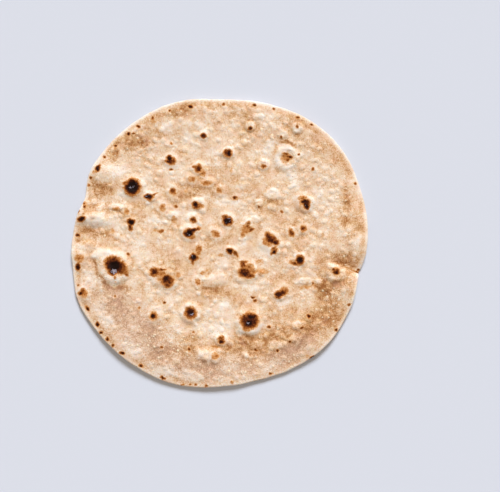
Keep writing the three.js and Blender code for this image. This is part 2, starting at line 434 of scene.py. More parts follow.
# The soft places of the top, each as (x, y, width, length, turn, strength), by the field that they fill.
# A strength of 1 is left out, and so is a turn of 0 before it.
PATCH_ROWS: dict[Field, Rows] = {
    # Broad tan places, where the sheet is thin or turned to the heat. Many of the rows paint shade as tan:
    # the shaded slopes of the left ridges and of the fold, the bent band along the lower right and the
    # lower part, and the shadow arcs below and beside the blisters.
    Field.TAN: (
        (-52, 62.5, 26, 11, 8, 1.3), (-70, 32, 16, 10, -6, 0.9), (-75, 6, 24, 7, -18),
        (-70, 2, 12, 6, -20, 0.5), (60, 54, 18, 9, -8, 0.25), (71, 54, 7, 16, 0, 0.5),
        (78.5, 25, 6, 20, 8, 0.9), (77, 14, 10, 5, 0, 0.6), (85, 12, 7, 12, 0, 0.7),
        # Painted shade above the fold, on the slope that falls into it away from the light.
        (76.5, -10.5, 24, 12, -12, 1.15), (80.5, -13.5, 15, 6.5, -28, 1.4), (67, -8, 10, 5, 0, 0.9),
        (71, -26, 14, 6, 0, 0.9), (53, -27, 11, 5, 0, 0.7), (24, 48, 9, 5, 0, 0.4),
        (24.5, 71, 4, 9, 0, 0.6), (19, 78, 10, 5, 0, 0.5), (19, 65, 14, 4, -10, 0.5),
        (-33, 66, 20, 6, 0, 0.85), (2, -5, 16, 10, 0, 0.2), (61, 54, 20, 10, -45, 0.4),
        (-44, 62, 12, 6, -15, 0.7), (-26, 79, 22, 7, 15), (-13, 78, 12, 9, 0, 0.5), (-43, 73, 6, 8, 0, 0.7),
        (-2, 31, 26, 4, -4, 0.7), (10, 31, 16, 4, 0, 0.5), (34, 24.5, 14, 4, 0, 0.8),
        # The first two rows paint the shadow arcs over and to the left of the ring blister.
        (42, 61.4, 12, 3.6, -12, 2), (35.5, 57, 3, 8, -10), (2, -31.5, 28, 7, -3, 0.7),
        (-3, -28.4, 18, 3, 0, 0.9), (10, -35, 12, 4, -10, 0.5), (27, -17, 14, 7, 0, 0.5),
        (-14, -26, 8, 6, 0, 0.2), (-66, -27.5, 16, 3.6, -10, 1.2), (-61, -34, 8, 3, -8, 0.8),
        # Painted shade on the bent band along the lower right.
        (66, -36, 13, 38, 6, 1.2), (58, -57, 14, 20, -40, 0.9), (40, -71, 24, 12, 24, 0.7),
        # Painted shadow arc at the lower left of the big blister.
        (-74.8, -15, 3, 12, 6), (-71, -22.5, 3.4, 11, 38, 1.4), (-62, -27.4, 15, 3, 6, 1.3),
        (-55, -52, 26, 5, -6, 0.7), (-22, -73, 26, 6, -8, 0.95), (-6, -75, 20, 4, 4),
        (-21, -59, 20, 8, 6, 0.5), (20, -58, 22, 5, 4, 0.9), (14, -63, 14, 8, 0, 0.6),
        (24, -67, 16, 5, 0, 0.9), (37, -68.5, 18, 5, 6, 0.9), (4, 76, 16, 6, 0, 0.4),
        (-3, 50.5, 14, 4, 0, 0.4), (32, -46, 12, 6, 0, 0.4), (-38, -12, 20, 5, 0, 0.3),
        (-17, 30, 18, 6, 10, 0.6), (-70, -45, 14, 9, -30, 0.4), (57, -51, 66, 24, 48, 1.15),
        (69, -42, 78, 21, 58, 0.9), (-48, -54, 60, 20, -45), (2, -76, 66, 16, 0, 0.75),
        (38, -56, 28, 15, 10, 1.3), (46, -46, 20, 12, 10, 0.85), (24, -62, 24, 14, 0, 1.15),
        (24, -43, 12, 10, 0, 0.45), (5, -66, 26, 10, 0, 0.95), (-23, -66, 18, 10), (65, -9, 15, 10),
        (11, -11, 12, 8, 0, 0.5), (39, -22, 24, 9, 0, 0.5), (-76, 0, 12, 6, 0, 0.5),
        (-66, 55, 14, 10, 0, 0.8), (-22, 55, 12, 10, 0, 0.65), (-6, 33, 26, 9, 0, 0.85),
        (-36, 76, 14, 8, 25, 0.8), (26, 67, 28, 9, -12, 0.95),
    ),
    # Pale floury places, on the shoulders of the blisters and along the rim. Many of them are also painted
    # highlight: the lit tops of the left ridges and of the big blister, and flanks that turn from the light
    # but are painted pale, as below the big blister and round the ring blister.
    Field.FLOUR_AND_HIGHLIGHT: (
        # Painted highlight on the lit ridge at the left and on the big blister, and a pale crescent painted
        # over its shaded lower flank.
        (-77, 13, 26, 9, -10, 1.1), (-71.5, -7.6, 13, 7.5, -20, 1.15), (-60.5, -22.2, 11, 5.5, 20, 1.2),
        (-68, -20.5, 6, 5, -45), (-66, -6.8, 20, 4.6, -2, 1.1), (-84, -3.5, 10, 5, 0, 1.1),
        (-65, 43, 26, 10, 8, 0.9), (-40, 13.3, 12, 4, -5, 1.2), (-32, -29, 16, 6, 25, 1.1),
        (20, -27, 14, 6, -10, 1.1), (28.5, -5.5, 5, 12, 30, 0.8), (8, 24.5, 15, 4),
        (22, 16.5, 12, 4, -18, 0.9), (16, 13.4, 5, 3, 0, 1.1), (34, 29.5, 10, 7, -20, 0.9),
        (25, 25, 6, 3, 0, 1.2), (11.5, 34, 6, 3.5, 0, 0.9), (22.5, 31.3, 5, 2.4, 0, 0.8),
        # Pale ring round the ring blister, partly painted highlight on its lower rim.
        (42.5, 57, 9, 3.4), (36.5, 49.5, 4.5, 8, 10, 1.1), (41, 45.6, 11, 4.5, 0, 1.4),
        (47.3, 51.5, 4.5, 8, 0, 0.9), (48, 69, 6, 4), (39, 66.8, 7, 3, 0, 0.6), (28, 50, 7, 2.6),
        (19.5, 73, 6, 3.4, 0, 1.1), (0, -53, 20, 13, 0, 1.3), (-8, -68, 12, 5, 0, 0.6),
        (-4.5, -21.5, 12, 6, 10, 0.8), (40, -36, 16, 5, 12), (50.5, -48.6, 10, 2.4, 3, 0.5),
        (46, -58, 8, 2.4, 0, 0.2), (36, -61.5, 9, 3, 0, 0.2), (24, -61.5, 8, 3, 0, 0.2),
        (13, -53.5, 7, 3.5, -40, 0.9), (23.5, -53.8, 7, 3, 35, 0.9), (-28, -57, 9, 4, 0, 0.7),
        (-44, -66, 8, 4, 0, 0.6), (-55, -64, 18, 10, -30, 0.8), (-78, -22, 8, 14, 8, 0.8),
        (-34, -78, 22, 7, -16, 1.2), (-19, -81, 22, 8, -6, 1.1), (10, -83, 26, 6, 4, 0.8),
        (50, -67, 14, 5, 30, 0.8), (64, -57, 10, 12, -30, 0.5), (86, 0, 6, 12, 0, 0.9),
        (85.5, 26, 6, 10, 0, 0.8), (82, 37, 6, 5, 0, 0.8), (81, -21.5, 12, 4.5, -20, 0.3),
        (81.5, -32, 5, 12, 14, 0.2), (71.5, -13.8, 8, 3, -20, 0.9), (69, -22, 9, 4.5, 0, 1.4),
        (76.5, -20, 4, 8, 20, 0.6), (-4, 55, 11, 5, 0, 0.8), (5.5, 58, 8, 3, 0, 1.1),
        (-18, 72.6, 6, 3, 0, 0.9), (-9, 68.5, 7, 3, 0, 0.8), (-42.5, 54, 7, 3.5, 0, 0.8), (-85, -3.5, 7, 6),
        (12, -1, 11, 3), (18, 3, 9, 4, 15, 0.8), (-15.5, 18.5, 9, 3, 0, 1.1), (-12.5, 27, 8, 2.6),
        (-11, 11.3, 9, 2, 0, 0.9), (-2.5, 1.3, 5, 2.2), (-10, 48.5, 8, 3), (-32, 0.3, 12, 3),
        (-27.5, 18, 8, 3, 0, 0.9), (52, -22.5, 8, 3, 0, 0.6), (61.5, -23.5, 4, 2.5, 0, 1.1),
        (49, -6.6, 8, 2, 0, 1.1), (45.5, 9, 4, 2), (7, -1.9, 5, 1.8), (5.8, 8.6, 6, 2.4),
        (1, 34.5, 4, 2, 0, 1.2), (-20, 34, 3, 2, 0, 0.9), (-62.5, 22.8, 9, 2, 0, 1.1),
        (-6.6, 39.6, 6, 1.8, 0, 0.8), (-12.2, -30.8, 2.6, 1.8, 0, 1.2), (3, -37.5, 10, 3, 0, 0.8),
        (-68, -46, 18, 9, -52), (-56, -35, 6, 6, 0, 0.6), (-68, 50, 7, 6, 0, 0.3), (-73, 47, 6, 8, 0, 0.5),
        (58, 47, 8, 5, 0, 0.5), (76, 51, 5, 5, 0, 0.6), (76.5, 23, 4, 4, 0, 0.7), (74, 5, 9, 5, 0, 0.5),
        (62, 8, 8, 4, 0, 0.6), (58, 19.5, 5, 3, 0, 0.9), (-45, -24, 10, 8, 0, 0.6), (17, -69, 4, 3),
        (-24, -16, 54, 42, -30, 0.14), (-16, -44, 70, 26, 0, 0.6), (49, 47, 72, 28, -45, 0.55),
        (-14, 62, 110, 44, 8, 0.25), (2, 22, 56, 30, 0, 0.25), (44, 43, 16, 12), (57, 28, 13, 20, 0, 0.9),
        (-60, 11, 24, 11, 0, 0.85), (-56, 29, 14, 15), (-20, 66, 11, 8, 0, 0.7), (-34, 44, 13, 10, 0, 0.7),
        (-21, 22, 10, 8, 0, 0.4), (-49, -22, 28, 10, 0, 0.85), (-11, -22, 12, 8),
        (-11, -48, 17, 22, 0, 1.15), (28, -77, 28, 8, 14), (55, -66, 18, 8, 40), (78, -34, 8, 15, 12, 0.8),
        (17, -34, 22, 8, 0, 0.5), (11, 50, 12, 18, 0, 0.6),
    ),
    # Broad painted shade: a greyish darkening over the lower part of the top, away from the light.
    Field.PAINTED_SHADE: (
        (-52, -52, 84, 32, -45), (-8, -77, 84, 18, 2), (42, -68, 44, 15, 28, 0.9),
    ),
    # Places that steam speckled with pale pimples.
    Field.SPECKLE: (
        (68, -38, 26, 52, 8), (76, 14, 22, 54, 6, 0.8), (-30, -62, 50, 26, -10), (-56, 56, 48, 26, 42, 0.9),
        (-22, 80, 46, 12, 8, 0.9), (24, -76, 56, 14, 10, 0.8), (-72, -36, 20, 40, -10, 0.6),
        (38, 38, 50, 40, 0, 0.5),
    ),
    # Ash and gloss in the bottom of the deepest pits of char, where the pale ash colour also paints a glint
    # of reflected light.
    Field.ASH_AND_GLINT: (
        (-64.2, -18.2, 6.6, 3.8, 0, 1.1), (-52.8, 33.4, 2.4, 2.2, 0, 0.7), (5.9, 13.8, 2.4, 1.6, -40, 0.7),
        (-17.2, 6.6, 2.4, 1.2, -35, 0.8), (-15.7, -8.9, 1.8, 1.6, 0, 0.8), (-16.3, -44, 3.4, 2.6, 20, 0.8),
        (18.6, -49, 3, 2.4, 0, 0.85), (52.8, 23.8, 2, 2, 0, 0.7), (34, -4.8, 2.4, 1.2, 35, 0.6),
        (-43.4, 29, 1.8, 1.4, 0, 0.6), (-53.2, 13.6, 2, 1.4, 0, 0.4),
    ),
}


def patches(field: Field) -> tuple[Patch, ...]:
    """The soft places of the top that fill a field."""
    return tuple(Patch(*row) for row in PATCH_ROWS[field])


@dataclass(frozen=True)
class Side:
    """One face of the bread: what the griddle did to it, and the seed of its small wrinkles.

    A layer of noise is its strength and its size, in mm, and what it adds to the seed.
    """

    blisters: tuple[Blister, ...]
    marks: tuple[Mark, ...]
    patches: dict[Field, tuple[Patch, ...]]
    seed: int
    smallest_puffed: float = 2.6
    unbaked: float = -3.0
    pimple_count: int = 2000
    pimple_reach: float = 86.0
    stand_window: float = 1.3
    stand_height: float = 0.15
    mark_shifts: tuple[Rows, Rows] = (((0.42, 3.1, 1), (0.3, 1.5, 2)), ((0.42, 3.3, 3), (0.3, 1.4, 4)))
    patch_shifts: tuple[Rows, Rows] = (((1.9, 6.0, 5), (0.8, 2.4, 15)), ((1.9, 6.5, 6), (0.8, 2.2, 16)))
    wrinkle_layers: Rows = ((0.24, 24.0, 7), (0.21, 9.0, 8), (0.11, 4.0, 9), (0.05, 1.9, 10))

    def shifted(self, x: Array, y: Array, shifts: tuple[Rows, Rows]) -> tuple[Array, Array]:
        """The places along X and Y, shifted a little at random, which makes what lies there ragged."""
        shift_x, shift_y = (ripples(x, y, self.seed, layers) for layers in shifts)
        return x + shift_x, y + shift_y

    def bake(self, x: Array, y: Array) -> Array:
        """Depth of the griddle's colour at each place.

        Args:
            x: Places along X.
            y: Places along Y.

        Returns:
            The depth, from -3 for none to about 4 for deep char.
        """
        u, v = self.shifted(x, y, self.mark_shifts)
        deepest = np.full_like(x, self.unbaked)
        for mark in self.marks:
            deepest = np.maximum(deepest, mark.depth(u, v))
        return deepest

    def cover(self, field: Field, x: Array, y: Array) -> Array:
        """Strongest cover of the soft places that fill a field.

        Args:
            field: The field.
            x: Places along X.
            y: Places along Y.

        Returns:
            The cover at each place.
        """
        u, v = self.shifted(x, y, self.patch_shifts)
        strongest = np.zeros_like(x)
        for patch in self.patches.get(field, ()):
            strongest = np.maximum(strongest, patch.cover(u, v))
        return strongest

    def puffs(self, x: Array, y: Array) -> Array:
        """Height of the blisters and of the small puffs under the marks.

        Args:
            x: Places along X.
            y: Places along Y.

        Returns:
            The height at each place, in mm.
        """
        puffs = list(self.blisters)
        for mark in self.marks:
            if min(mark.width, mark.length) >= self.smallest_puffed and mark.bake is not Bake.FAINT:
                wide, long = 2.0 * mark.width + 3.0, 2.0 * mark.length + 3.0
                puffs.append(Blister(mark.x, mark.y, wide, long, mark.turn, 0.07 * mark.width + 0.2, 1.6))
        highest = np.zeros_like(x)
        for puff in puffs:
            highest = np.maximum(highest, puff.rise(x, y))
        return highest

    def wrinkles(self, x: Array, y: Array) -> Array:
        """Small ups and downs of the crust between the blisters, in mm."""
        return ripples(x, y, self.seed, self.wrinkle_layers)

    def pimples(self, x: Array, y: Array) -> Array:
        """Height of the little pimples that steam raised, scattered at random.

        Args:
            x: Places along X.
            y: Places along Y.

        Returns:
            The height at each place, in mm.
        """
        chance = np.random.default_rng(self.seed + 20)
        highest = np.zeros_like(x)
        # They crowd towards the rim, and most of them are small.
        for _ in range(self.pimple_count):
            turn, out = chance.uniform(0, 2 * math.pi), self.pimple_reach * chance.uniform() ** 0.36
            wide = 1.6 + 3.6 * chance.uniform() ** 1.7
            long, lean = wide * chance.uniform(0.6, 1.0), chance.uniform(0, 180)
            spot = Spot(out * math.cos(turn), out * math.sin(turn), wide, long, lean)
            near = (np.abs(x - spot.x) < wide) & (np.abs(y - spot.y) < wide)
            rise = chance.uniform(0.04, 0.12) * wide * ease(1.7 * (1.0 - spot.reach(x[near], y[near])))
            highest[near] = np.maximum(highest[near], rise)
        return highest

    def crust(self, x: Array, y: Array) -> Array:
        """Height of the puffs, the wrinkles and the pimples over the sheet, in mm."""
        return self.puffs(x, y) + self.wrinkles(x, y) + self.pimples(x, y)

    def standing(self, x: Array, y: Array) -> Array:
        """How far each place stands out from what lies round it.

        Args:
            x: Places along X.
            y: Places along Y.

        Returns:
            From -1, in a hollow, to 1, on a bump.
        """
        heights = HeightMap()
        crust = self.crust(*heights.places())
        close = crust - heights.smooth(crust, self.stand_window)
        return np.clip(heights.read(close, x, y) / self.stand_height, -1.0, 1.0)


@dataclass(frozen=True)
class HeightMap:
    """A square map of heights over the bread, for finding what stands out and what lies low."""

    half: float = 96.0
    step: float = 0.6
    passes: int = 3

    def places(self) -> tuple[Array, Array]:
        """Places along X and Y of the map's points."""
        line = np.arange(-self.half, self.half, self.step)
        return np.meshgrid(line, line, indexing="ij")

    def smooth(self, heights: Array, reach: float) -> Array:
        """Heights averaged over a window, several times over.

        Args:
            heights: The map.
            reach: Half the width of the window, in mm.

        Returns:
            The averaged map.
        """
        count = max(1, round(reach / self.step))
        for _ in range(self.passes):
            for axis in (0, 1):
                shifted = [np.roll(heights, by, axis) for by in range(-count, count + 1)]
                heights = sum(shifted) / len(shifted)
        return heights

    def read(self, heights: Array, x: Array, y: Array) -> Array:
        """Heights at any places, read between the points of the map.

        Args:
            heights: The map.
            x: Places along X.
            y: Places along Y.

        Returns:
            The height at each place.
        """
        u = np.clip((x + self.half) / self.step, 0, heights.shape[0] - 1.001)
        v = np.clip((y + self.half) / self.step, 0, heights.shape[1] - 1.001)
        i, j = u.astype(int), v.astype(int)
        s, t = u - i, v - j
        near = heights[i, j] * (1 - t) + heights[i, j + 1] * t
        far = heights[i + 1, j] * (1 - t) + heights[i + 1, j + 1] * t
        return near * (1 - s) + far * s


@dataclass(frozen=True)
class DiscRings:
    """Rings of points on a disc, ring k with 6 k of them, and the triangles between the rings."""

    rings: int

    def start(self, ring: int) -> int:
        """Number of the first point of a ring."""
        return 0 if ring == 0 else 1 + 3 * ring * (ring - 1)

    @property
    def count(self) -> int:
        """Number of points on the disc."""
        return self.start(self.rings + 1)

    def polar(self) -> tuple[Array, Array]:
        """Places of the points.

        Returns:
            Each point's share of the radius, and its direction in radians.
        """
        share, turn = [np.zeros(1)], [np.zeros(1)]
        for ring in range(1, self.rings + 1):
            share.append(np.full(6 * ring, ring / self.rings))
            turn.append(np.arange(6 * ring) * (2.0 * math.pi / (6 * ring)))
        return np.concatenate(share), np.concatenate(turn)

    def point(self, ring: int, step: int) -> int:
        """Number of a point, counted round its ring."""
        return 0 if ring == 0 else self.start(ring) + step % (6 * ring)

    def triangles(self) -> list[tuple[int, int, int]]:
        """The triangles between the rings.

        Returns:
            The numbers of each triangle's points, in the order that makes it face up.
        """
        found = []
        for ring in range(1, self.rings + 1):
            for sector in range(6):
                inner, outer = sector * (ring - 1), sector * ring
                for j in range(ring):
                    found.append((self.point(ring - 1, inner + j), self.point(ring, outer + j),
                                  self.point(ring, outer + j + 1)))
                for j in range(ring - 1):
                    found.append((self.point(ring - 1, inner + j), self.point(ring, outer + j + 1),
                                  self.point(ring - 1, inner + j + 1)))
        return found


@dataclass
class BreadMesh:
    """The skin of the bread: the disc of the top, the rounded edge and the disc of the underside."""

    sheet: Sheet
    top: Side
    under: Side
    top_rings: int = 150
    edge_steps: int = 6
    rim_thickness: float = 1.8
    rim_width: float = 6.0
    level_rim: float = 5.0
    char_depth: float = 0.22
    pit_depth: float = 0.7
    crumb_height: float = 0.12
    crumb_size: float = 1.3
    hollow_share: float = 0.8
    pock_depth: float = 0.1

    def edge_radius(self) -> float:
        """Radius of the rounded edge."""
        return self.rim_thickness / 2.0

    def place(self, share: Array, turn: Array, reach: float) -> tuple[Array, Array]:
        """Turns polar places into places on the hand-rolled outline.

        Args:
            share: Share of the reach, from 0 to 1.
            turn: Direction, in radians.
            reach: Distance from the middle at a share of 1, before the outline moves it.

        Returns:
            The places along X and Y, in mm.
        """
        out = share * reach * self.sheet.outline(np.degrees(turn))
        return out * np.cos(turn), out * np.sin(turn)

    def thickness(self, x: Array, y: Array) -> Array:
        """Thickness of the sheet between the blisters: it thins at the rim."""
        inward = ease(self.sheet.to_edge(x, y) / self.rim_width)
        return self.rim_thickness + (self.sheet.thickness - self.rim_thickness) * inward

    def top_height(self, x: Array, y: Array) -> Array:
        """Height of the top over the table: the crust, less the crumbly pits of the char.

        Args:
            x: Places along X.
            y: Places along Y.

        Returns:
            The height at each place, in mm.
        """
        # Char begins at a depth of colour of 0 and is full at 0.9. Its pits go from 0.8 to 3.
        baked = self.top.bake(x, y)
        char = ease(baked / 0.9)
        pit = self.char_depth * char + self.pit_depth * ease((baked - 0.8) / 2.2)
        crumbs = self.crumb_height * lattice_noise(x, y, self.crumb_size, 77)
        inward = ease((self.sheet.to_edge(x, y) + 1.0) / self.level_rim)
        relief = inward * self.top.crust(x, y) - pit - char * crumbs
        return self.sheet.lift(x, y) + self.thickness(x, y) + relief

    def under_height(self, x: Array, y: Array) -> Array:
        """Height of the underside, which rests on the table and is hollow in places.

        Args:
            x: Places along X.
            y: Places along Y.

        Returns:
            The height at each place, in mm.
        """
        hollows = self.hollow_share * np.maximum(self.under.wrinkles(x, y) + 0.05, 0.0)
        pocks = self.pock_depth * ease(self.under.bake(x, y) / 0.5 + 1.0)
        return self.sheet.lift(x, y) + hollows + pocks

    def rim(self, turn: Array) -> tuple[list[Array], list[Array], list[Array]]:
        """Rows of points round the edge, from just under the top's last ring to the underside.

        Args:
            turn: Directions of the points of a row, in radians.

        Returns:
            The places along X, Y and Z of each row.
        """
        radius = self.edge_radius()
        straight = self.sheet.radius - radius
        ones = np.ones_like(turn)
        x, y = self.place(ones, turn, straight)
        high, low = self.top_height(x, y), self.under_height(x, y)
        rows: tuple[list[Array], list[Array], list[Array]] = ([], [], [])
        for step in range(1, self.edge_steps + 1):
            angle = math.pi / 2.0 - math.pi * step / self.edge_steps
            u, v = self.place(ones, turn, straight + radius * math.cos(angle))
            upward = 0.5 + 0.5 * math.sin(angle)
            rows[0].append(u)
            rows[1].append(v)
            rows[2].append(low + (high - low) * upward)
        return rows

    def build(self) -> tuple[Array, list[tuple[int, ...]], Array]:
        """Makes the points and faces of the skin.

        Returns:
            The points in mm, the faces, and for each point whether it is on the underside.
        """
        disc = DiscRings(self.top_rings)
        floor = DiscRings(self.top_rings // 2)
        straight = self.sheet.radius - self.edge_radius()
        share, turn = disc.polar()
        x, y = self.place(share, turn, straight)
        points = [np.stack([x, y, self.top_height(x, y)], 1)]
        around = turn[disc.start(disc.rings):]
        rows = self.rim(around)
        points += [np.stack(row, 1) for row in zip(*rows)]
        share, turn = floor.polar()
        # The last ring of the underside stays a little inside the last row of the edge.
        inset = 0.6 / self.top_rings
        x, y = self.place(share * (1.0 - inset), turn, straight)
        points.append(np.stack([x, y, self.under_height(x, y)], 1))
        faces: list[tuple[int, ...]] = list(disc.triangles())
        faces += self.edge_faces(disc, len(around))
        first = disc.count + self.edge_steps * len(around)
        faces += [(first + c, first + b, first + a) for a, b, c in floor.triangles()]
        faces += self.seam_faces(disc, floor, len(around))
        skin = np.concatenate(points)
        under = np.arange(len(skin)) >= first
        return skin, faces, under

    def edge_faces(self, disc: DiscRings, around: int) -> list[tuple[int, ...]]:
        """Faces of the rounded edge.

        Args:
            disc: The rings of the top.
            around: Number of points in each row of the edge.

        Returns:
            The faces, each with four points.
        """
        starts = [disc.start(disc.rings)]
        starts += [disc.count + row * around for row in range(self.edge_steps)]
        found: list[tuple[int, ...]] = []
        for upper, lower in zip(starts, starts[1:]):
            for i in range(around):
                j = (i + 1) % around
                found.append((upper + i, lower + i, lower + j, upper + j))
        return found

    def seam_faces(self, disc: DiscRings, floor: DiscRings, around: int) -> list[tuple[int, ...]]:
        """Faces that join the last row of the edge to the underside, which has half its points.

        Args:
            disc: The rings of the top.
            floor: The rings of the underside.
            around: Number of points in the last row of the edge.

        Returns:
            The triangles, facing down.
        """
        edge = disc.count + (self.edge_steps - 1) * around
        inner = disc.count + self.edge_steps * around + floor.start(floor.rings)
        found: list[tuple[int, ...]] = []
        for i in range(around // 2):
            j = (i + 1) % (around // 2)
            a, b, c = edge + 2 * i, edge + 2 * i + 1, edge + (2 * i + 2) % around
            found += [(a, inner + i, b), (b, inner + i, inner + j), (b, inner + j, c)]
        return found


# Numbers of the sockets of the Mix node that carry its factor and its colours.
MIX_FACTOR, MIX_FIRST, MIX_SECOND, MIX_RESULT = 0, 6, 7, 2


class Wire:
    """A value from a shader node, which takes part in Python's arithmetic."""

    def __init__(self, board: "NodeBoard", socket: bpy.types.NodeSocket) -> None:
        """Keeps the socket and the board that holds its node."""
        self.board = board
        self.socket = socket

    def __add__(self, other: "Wire | float") -> "Wire":
        """Sum."""
        return self.board.math("ADD", self, other)

    def __radd__(self, other: float) -> "Wire":
        """Sum with a number on the left."""
        return self.board.math("ADD", other, self)

    def __sub__(self, other: "Wire | float") -> "Wire":
        """Difference."""
        return self.board.math("SUBTRACT", self, other)

    def __rsub__(self, other: float) -> "Wire":
        """Difference with a number on the left."""
        return self.board.math("SUBTRACT", other, self)

    def __mul__(self, other: "Wire | float") -> "Wire":
        """Product."""
        return self.board.math("MULTIPLY", self, other)

    def __rmul__(self, other: float) -> "Wire":
        """Product with a number on the left."""
        return self.board.math("MULTIPLY", other, self)

    def step(self, low: float, high: float) -> "Wire":
        """Eased step of the value.

        Args:
            low: Where the step is 0.
            high: Where it is 1, which may lie below low.

        Returns:
            The step.
        """
        values = {"Value": self, "From Min": low, "From Max": high}
        node = self.board.node("ShaderNodeMapRange", {"interpolation_type": "SMOOTHSTEP"}, values)
        return Wire(self.board, node.outputs["Result"])


class NodeBoard:
    """The node tree of a material or a world, and the few ways in which this file adds to it."""

    def __init__(self, owner: bpy.types.Material | bpy.types.World) -> None:
        """Empties the owner's tree and takes it over.

        Args:
            owner: The material or the world.
        """
        owner.use_nodes = True
        self.tree = owner.node_tree
        self.tree.nodes.clear()

    def node(self, kind: str, settings: dict, values: dict) -> bpy.types.Node:
        """Adds one node.

        Args:
            kind: The node's type.
            settings: Its settings by name, with a ramp's stops under "stops". They are set first.
            values: What each input holds or is linked to, by the input's name or number.

        Returns:
            The node.
        """
        made = self.tree.nodes.new(kind)
        for name, value in settings.items():
            if name == "stops":
                self.set_stops(made.color_ramp, value)
            else:
                setattr(made, name, value)
        for key, value in values.items():
            if isinstance(value, Wire):
                self.tree.links.new(value.socket, made.inputs[key])
            else:
                made.inputs[key].default_value = value
        return made

    def set_stops(self, ramp: bpy.types.ColorRamp, stops: Sequence[tuple[float, tuple]]) -> None:
        """Gives a ramp its stops.

        Args:
            ramp: The ramp.
            stops: Place and colour of each stop.
        """
        while len(ramp.elements) < len(stops):
            ramp.elements.new(1.0)
        for element, (place, colour) in zip(ramp.elements, stops):
            element.position = place
            element.color = colour

    def math(self, operation: str, *values: "Wire | float") -> Wire:
        """Result of one Math node on the given values."""
        node = self.node("ShaderNodeMath", {"operation": operation}, dict(enumerate(values)))
        return Wire(self, node.outputs[0])

    def mix(self, factor: "Wire | float", first: "Wire | tuple", second: "Wire | tuple") -> Wire:
        """Colour between two others, the second where the factor is 1."""
        values = {MIX_FACTOR: factor, MIX_FIRST: first, MIX_SECOND: second}
        return Wire(self, self.node("ShaderNodeMix", {"data_type": "RGBA"}, values).outputs[MIX_RESULT])

    def ramp(self, stops: Sequence[tuple[float, tuple]], factor: Wire) -> Wire:
        """Colour at the factor's place on a ramp with the given stops."""
        node = self.node("ShaderNodeValToRGB", {"stops": stops}, {"Fac": factor})
        return Wire(self, node.outputs["Color"])

    def field(self, field: Field) -> Wire:
        """Value of a field that the mesh carries."""
        node = self.node("ShaderNodeAttribute", {"attribute_name": field.value}, {})
        return Wire(self, node.outputs["Fac"])

    def place(self) -> Wire:
        """Place on the object, in metres."""
        return Wire(self, self.node("ShaderNodeTexCoord", {}, {}).outputs["Object"])

    def noise(self, place: Wire, size: float, detail: float, roughness: float = 0.5) -> Wire:
        """Cloudy noise between 0 and 1.

        Args:
            place: Where it is read.
            size: Size of its lumps, in mm.
            detail: How many finer layers it has.
            roughness: Strength of the finer layers.

        Returns:
            The noise.
        """
        values = {"Vector": place, "Scale": 1.0 / (size * MM), "Detail": detail, "Roughness": roughness}
        return Wire(self, self.node("ShaderNodeTexNoise", {}, values).outputs["Fac"])

    def cells(self, place: Wire, size: float) -> tuple[Wire, Wire]:
        """Random cells.

        Args:
            place: Where they are read.
            size: Size of a cell, in mm.

        Returns:
            Distance from the nearest cell's middle, in cells, and that cell's own random value.
        """
        node = self.node("ShaderNodeTexVoronoi", {}, {"Vector": place, "Scale": 1.0 / (size * MM)})
        own = self.node("ShaderNodeSeparateColor", {}, {"Color": Wire(self, node.outputs["Color"])})
        return Wire(self, node.outputs["Distance"]), Wire(self, own.outputs["Red"])


def paint(red: int, green: int, blue: int) -> tuple[float, float, float, float]:
    """A colour from its usual screen values between 0 and 255."""
    linear = Color((red / 255.0, green / 255.0, blue / 255.0)).from_srgb_to_scene_linear()
    return (linear.r, linear.g, linear.b, 1.0)


